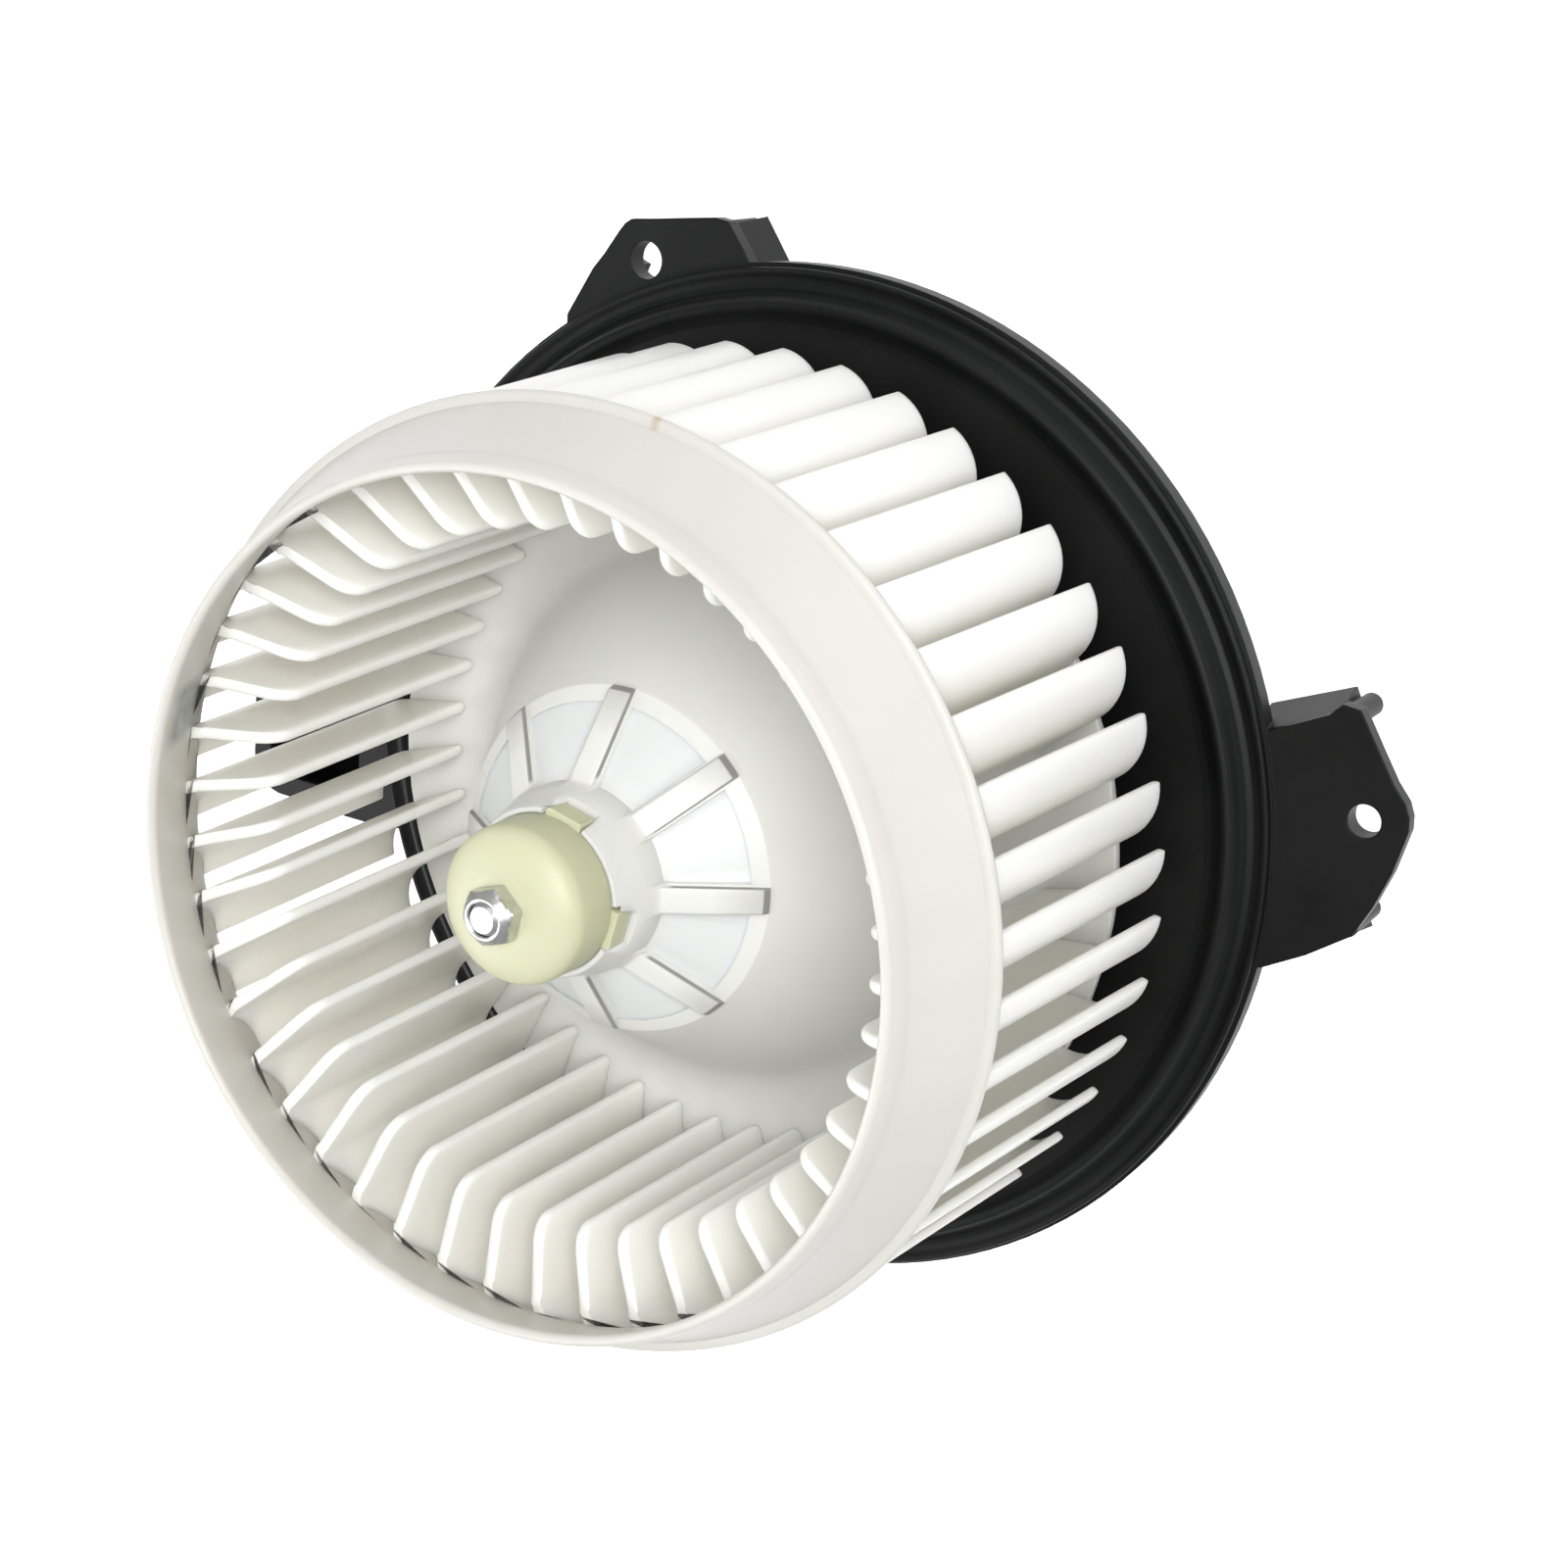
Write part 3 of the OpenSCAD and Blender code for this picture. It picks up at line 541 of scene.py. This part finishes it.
def rib_top(r):
    if r < 12.0 or r > 27.4:
        return -1.0
    if r < 14.4:
        return 46.9 - (r - 12.0) * 1.2 / 2.4
    if r < 26.9:
        return 45.7 - (r - 14.4) * 9.9 / 12.5
    return 35.8 - (r - 26.9) * 1.4 / 0.5


def pocket_floor(r):
    if r < 14.5 or r > 25.0:
        return 99.0
    return 43.5 - (r - 14.5) * 8.1 / 10.5


def pocket_half(r):
    """Half width of the wedge-shaped pocket, as an angle in degrees."""
    k = 9.4 / 22.7
    lo, hi = 0.0, 60.0
    for _ in range(30):
        mid = (lo + hi) / 2
        t = math.radians(mid)
        if r * math.sin(t) < k * (r * math.cos(t) - 5.3):
            lo = mid
        else:
            hi = mid
    return lo


# across a rib: distance from its middle, on the rib or beside it, and rounding of that corner
RIB_COLS = [(0.0, 1.0, 0.0), (0.9, 1.0, 0.0), (1.6, 1.0, 0.0), (1.82, 1.0, 0.03),
            (1.95, 1.0, 0.12), (2.0, 1.0, 0.3), (2.02, 0.0, 0.25), (2.08, 0.0, 0.08), (2.25, 0.0, 0.0)]


def sector_columns(r):
    """(angle from the rib's middle, height) across half of a 45 degree sector."""
    rr = max(r, 12.9)
    surf, rib, floor = plate_surface(r), rib_top(r), pocket_floor(r)
    cols = []
    for v, on, d in RIB_COLS:
        ang = math.degrees(math.asin(v / rr))
        if rib > surf:
            z = rib - d if on > 0.5 else surf + d
            z = max(z, surf)
        else:
            z = surf
        cols.append((ang, z))
    start = cols[-1][0]
    edge = 22.5 - pocket_half(rr)
    edge = max(edge, start + 0.6)
    soft = math.degrees(0.12 / rr)
    deep = min(surf, floor)
    for f in (0.35, 0.7):
        cols.append((start + (edge - soft - start) * f, surf))
    cols.append((edge - soft, surf))
    cols.append((edge - soft * 0.3, surf - 0.15 * (surf - deep)))
    cols.append((edge + soft * 0.2, deep + 0.15 * (surf - deep)))
    cols.append((edge + soft, deep))
    for f in (0.3, 0.65, 1.0):
        cols.append((edge + soft + (22.5 - edge - soft) * f, deep))
    return cols


def plate_rows():
    """Radii from the plate's edge in to the mouth of the boss."""
    rows = [67.0 - 0.4 * i / 3 for i in range(1, 4)] + [66.0, 64.0, 61.0, 58.0, 56.0, 55.0]
    rows += [55.0 - 12.1 * i / 14 for i in range(1, 15)]
    rows += [42.9 - 13.9 * i / 12 for i in range(1, 12)]
    rows += [29.0, 28.4, 27.8, 27.42, 27.38, 27.3, 27.2, 27.1, 26.98, 26.9, 26.75, 26.2]
    rows += [25.6, 25.14, 25.02, 24.98, 24.86, 24.4]
    rows += [24.4 - 8.8 * i / 12 for i in range(1, 12)]
    rows += [15.6, 15.45, 15.33, 15.2, 15.0, 14.7, 14.52, 14.48, 14.2, 13.9, 13.7, 13.5]
    rows += [13.35, 13.2, 13.1, 13.0, 12.95]
    return rows


def make_plate():
    rows = plate_rows()
    cols0 = sector_columns(20.0)
    half = len(cols0)
    per = 2 * half - 2
    count = per * 8
    verts, faces = [], []
    ring_of = []

    def put(r, deg, z):
        a = math.radians(deg)
        verts.append((r * math.cos(a) * MM, r * math.sin(a) * MM, (ZB + z) * MM))

    def angles(r):
        cols = sector_columns(r)
        out = []
        for i in range(8):
            c = 12.0 + 45.0 * i
            out += [(c + a, z) for a, z in cols[:-1]]
            out += [(c + 45.0 - a, z) for a, z in cols[:0:-1]]
        return out

    # the rounded outer edge, then the surface itself, then the boss's lip and the mouth for the collar
    for r, z in ((66.6, -2.0), (66.95, -1.85), (67.1, -1.5), (67.1, -0.45), (67.06, -0.2), (66.95, -0.06)):
        for a, _ in angles(40.0):
            put(r, a, z)
        ring_of.append(len(verts))
    for r in rows:
        for a, z in angles(r):
            gap = min(abs((a + 137.0 - 90.0 * k + 540.0) % 360.0 - 180.0) for k in range(4))
            if z > 49.3 and r < 15.0:
                cut = 1.0 if gap * math.pi / 180 * r < 3.2 else 0.0
                z = z + (49.3 - z) * cut
            put(r, a, z)
        ring_of.append(len(verts))
    for r, z in ((12.88, 53.2), (12.8, 53.42), (12.6, 53.5), (12.25, 53.5), (12.1, 53.42),
                 (12.03, 53.2), (12.02, 46.0), (9.9, 46.0), (9.9, 40.0)):
        for a, _ in angles(13.0):
            gap = min(abs((a + 137.0 - 90.0 * k + 540.0) % 360.0 - 180.0) for k in range(4))
            put(r, a, min(z, 49.3) if gap * math.pi / 180 * r < 3.2 else z)
        ring_of.append(len(verts))
    for r, z in ((13.4, 42.1), (25.9, 32.5), (41.2, 6.0), (44.5, 1.6), (49.0, -1.0), (52.5, -2.0)):
        for a, _ in angles(40.0):
            put(r, a, z)
        ring_of.append(len(verts))
    total = len(ring_of)
    for k in range(total):
        p, q = k * count, ((k + 1) % total) * count
        for i in range(count):
            j = (i + 1) % count
            faces.append((p + i, p + j, q + j, q + i))
    return verts, faces


pv, pf = make_plate()
plate = add_mesh("plate_skin", pv, pf, PLATE, "rotor", True, 38.0)
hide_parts("fan_backplate")


# ------------------------------------------------------------------ hub collar, its keys, and the nut
COLLAR_LINE = [
    (4.03, 43.5), (9.2, 43.5), (9.98, 44.5), (9.98, 61.5), (11.9, 61.5), (12.0, 61.6),
    (12.0, 75.4), (11.93, 75.95), (11.75, 76.4), (11.5, 76.85), (11.2, 77.25), (10.75, 77.65),
    (10.2, 78.05), (9.4, 78.5), (8.6, 78.87), (7.6, 79.3), (6.6, 79.6), (5.9, 79.82),
    (5.4, 79.97), (2.56, 79.97), (2.56, 60.0), (4.03, 59.9),
]
collar = lathe("collar_skin", COLLAR_LINE, NYLON, "rotor", seg=192, angle=45.0)
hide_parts("hub_collar")


def make_keys():
    """Four keys of the collar in the notches of the boss, each with chamfered edges."""
    verts, faces = [], []
    c = 0.25
    for k in range(4):
        a = math.radians(-137.0 + 90.0 * k)
        ca, sa = math.cos(a), math.sin(a)
        base = len(verts)
        for u, w, z0, z1 in ((11.5, 3.1, 64.9, 68.9), (12.8 - c, 3.1, 64.9, 68.9),
                             (12.8, 3.1 - c, 64.9 + c, 68.9 - c)):
            for v, z in ((-w, z0), (w, z0), (w, z1), (-w, z1)):
                verts.append(((u * ca - v * sa) * MM, (u * sa + v * ca) * MM, z * MM))
        for j in range(2):
            for i in range(4):
                t = (i + 1) % 4
                faces.append((base + 4 * j + i, base + 4 * j + t, base + 4 * j + 4 + t, base + 4 * j + 4 + i))
        faces.append((base + 3, base + 2, base + 1, base))
        faces.append((base + 8, base + 9, base + 10, base + 11))
    return verts, faces


kv, kf = make_keys()
add_mesh("collar_keys", kv, kf, NYLON, "rotor", False)


def make_nut():
    """Hexagon nut, 8 mm across flats, its corners turned off in front."""
    seg = 144
    rows = []
    for z in (80.0, 80.12, 82.0, 82.2, 82.45, 82.75, 83.1, 83.5):
        cone = 8.775 - (z - 78.0) * 1.01342
        if z < 80.1:
            cone = 4.45
        row = []
        for s in range(seg):
            a = 2 * math.pi * s / seg
            sector = (a - math.radians(15)) % (math.pi / 3) - math.pi / 6
            row.append((min(4.0 / math.cos(sector), cone), a, z))
        rows.append(row)
    for r_, z in ((3.1, 83.58), (2.95, 83.6), (2.75, 83.58), (2.56, 83.42), (2.56, 80.0)):
        rows.append([(r_, 2 * math.pi * s / seg, z) for s in range(seg)])
    verts, faces = [], []
    for row in rows:
        verts += [(r * math.cos(a) * MM, r * math.sin(a) * MM, z * MM) for r, a, z in row]
    for i in range(len(rows)):
        j = (i + 1) % len(rows)
        for s in range(seg):
            t = (s + 1) % seg
            faces.append((i * seg + s, i * seg + t, j * seg + t, j * seg + s))
    return verts, faces


nv, nf = make_nut()
nut = add_mesh("nut_skin", nv, nf, ZINC, "rotor", True, 20.0)
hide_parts("hub_nut")


# ------------------------------------------------------------------ floor and light
DOME_R, FLOOR_HALF = 5.8, 6.0  # metres
FLOOR_GLOW, WORLD_LIGHT = 0.62, 0.48
KEY_W, FILL_W, FRONT_W, REAR_W = 0.45, 0.5, 7.3, 4.2


def backdrop(mat):
    """A plain dome round the floor, seen by the camera only."""
    seg, rows = 64, [(DOME_R, -0.5)]
    for t in range(10):
        rise = t * math.pi / 20
        rows.append((DOME_R * math.cos(rise), DOME_R * math.sin(rise)))
    turns = [2 * math.pi * k / seg for k in range(seg)]
    verts = [(r * math.cos(a), r * math.sin(a), z) for r, z in rows for a in turns]
    faces = [(i * seg + k, i * seg + (k + 1) % seg, (i + 1) * seg + (k + 1) % seg, (i + 1) * seg + k)
             for i in range(len(rows) - 1) for k in range(seg)]
    faces.append(tuple((len(rows) - 1) * seg + k for k in range(seg)))
    me = bpy.data.meshes.new("backdrop")
    me.from_pydata(verts, [], faces)
    me.materials.append(mat)
    dome = bpy.data.objects.new("backdrop", me)
    bpy.context.scene.collection.objects.link(dome)
    dome.visible_diffuse = False
    dome.visible_glossy = False
    dome.visible_transmission = False
    dome.visible_shadow = False


def studio():
    lo, hi = Vector(CAD_BOX[0]), Vector(CAD_BOX[1])
    me = bpy.data.meshes.new("floor")
    s = FLOOR_HALF
    z = lo.z - 0.0002
    me.from_pydata([(-s, -s, z), (s, -s, z), (s, s, z), (-s, s, z)], [], [(0, 1, 2, 3)])
    floor = bpy.data.objects.new("floor", me)
    bpy.context.scene.collection.objects.link(floor)
    m, nt, b = material("floor_white")
    n = noise(nt, 3.0)
    c = ramp(nt, n.outputs["Fac"], [(0.2, (0.93, 0.93, 0.93)), (0.8, (0.95, 0.95, 0.95))])
    nt.links.new(c.outputs["Color"], b.inputs["Base Color"])
    b.inputs["Roughness"].default_value = 0.9
    b.inputs["Emission Color"].default_value = (1.0, 1.0, 1.0, 1.0)
    b.inputs["Emission Strength"].default_value = FLOOR_GLOW
    me.materials.append(m)
    floor.visible_diffuse = False
    bpy.context.scene.view_settings.view_transform = "Standard"
    world = bpy.data.worlds.new("studio")
    bpy.context.scene.world = world
    world.use_nodes = True
    bg = world.node_tree.nodes["Background"]
    bg.inputs["Color"].default_value = (1.0, 1.0, 1.0, 1.0)
    bg.inputs["Strength"].default_value = WORLD_LIGHT

    def area(name, where, target, size, power, colour=(1.0, 1.0, 1.0)):
        d = bpy.data.lights.new(name, "AREA")
        d.shape = "DISK"
        d.size = size
        d.energy = power
        d.color = colour
        ob = bpy.data.objects.new(name, d)
        bpy.context.scene.collection.objects.link(ob)
        ob.location = where
        ob.rotation_mode = "QUATERNION"
        ob.rotation_quaternion = (Vector(target) - Vector(where)).to_track_quat("-Z", "Y")
        return ob

    c = (lo + hi) / 2
    # the key light comes from the view's upper side, the fill from its right
    key = c + up * 0.62 + back * 0.42 + right * 0.18
    key.z = max(key.z, 0.30)
    area("key", key, c, 0.5, KEY_W)
    fill = c + right * 0.55 + back * 0.55
    fill.z = max(fill.z, 0.25)
    area("fill", fill, c, 0.6, FILL_W)
    area("front", c + back * 0.9, c, 0.6, FRONT_W)
    # the side away from the camera gets a soft light of its own
    area("rear", c + Vector((0.0, 0.75, 0.45)), c, 0.7, REAR_W)
    backdrop(m)


studio()
